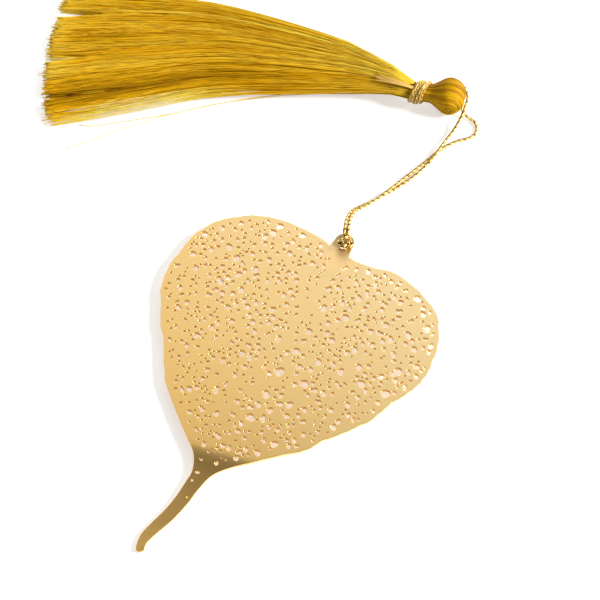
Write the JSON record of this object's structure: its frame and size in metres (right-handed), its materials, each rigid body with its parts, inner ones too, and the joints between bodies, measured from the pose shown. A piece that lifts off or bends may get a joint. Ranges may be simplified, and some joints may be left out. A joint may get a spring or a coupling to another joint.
{
  "type": "leaf bookmark",
  "caption": "Pierced metal heart-leaf bookmark with a long drip tip, a knotted gold cord through its eyelet and a silky tassel; the cord and the tassel swing.",
  "frame": {"origin": "on the back face of the blade, on the midrib, 28 mm below the centre of the eyelet", "axes": "+Z leaves the front of the leaf, +Y runs along the midrib towards the eyelet, +X is to the right seen from the front"},
  "size_m": [0.1259, 0.1344, 0.0076],
  "materials": {
    "leaf_metal": "gold-plated thin sheet, satin",
    "cord_metallic": "twisted metallised thread",
    "tassel_yarn": "silky yarn",
    "binding_thread": "silky thread"
  },
  "bodies": {
    "leaf": {"leaf_plate": "leaf_metal"},
    "eyelet_loop": {"eyelet_bight": "cord_metallic"},
    "knot": {"cord_knot": "cord_metallic"},
    "cord": {"cord_leg_a": "cord_metallic", "cord_leg_b": "cord_metallic"},
    "tassel": {"tassel_head": "tassel_yarn", "neck_binding": "binding_thread", "skirt_lock_01": "tassel_yarn", "skirt_lock_02": "tassel_yarn", "skirt_lock_03": "tassel_yarn", "skirt_lock_04": "tassel_yarn", "skirt_lock_05": "tassel_yarn", "skirt_lock_06": "tassel_yarn", "skirt_lock_07": "tassel_yarn", "skirt_lock_08": "tassel_yarn", "skirt_lock_09": "tassel_yarn", "skirt_lock_10": "tassel_yarn", "skirt_lock_11": "tassel_yarn", "skirt_lock_12": "tassel_yarn"}
  },
  "joints": [
    {"name": "cord_swing", "type": "hinge", "parent": "leaf", "child": "eyelet_loop", "pos_m": [0, 0.028, 0.0006], "axis": [0, 0, 1], "range_deg": [-45, 45]},
    {"name": "loop_turn", "type": "hinge", "parent": "eyelet_loop", "child": "knot", "pos_m": [-0.00073, 0.02981, 0.00048], "axis": [0.9272, 0.3746, 0], "range_deg": [-100, 0]},
    {"name": "cord_lift", "type": "hinge", "parent": "knot", "child": "cord", "pos_m": [0.0006, 0.02652, 0.00175], "axis": [0.9272, 0.3746, 0], "range_deg": [0, 100]},
    {"name": "tassel_flip", "type": "hinge", "parent": "cord", "child": "tassel", "pos_m": [0.00185, 0.07435, 0.00228], "axis": [0.3502, -0.9367, 0], "range_deg": [-110, 110]}
  ]
}
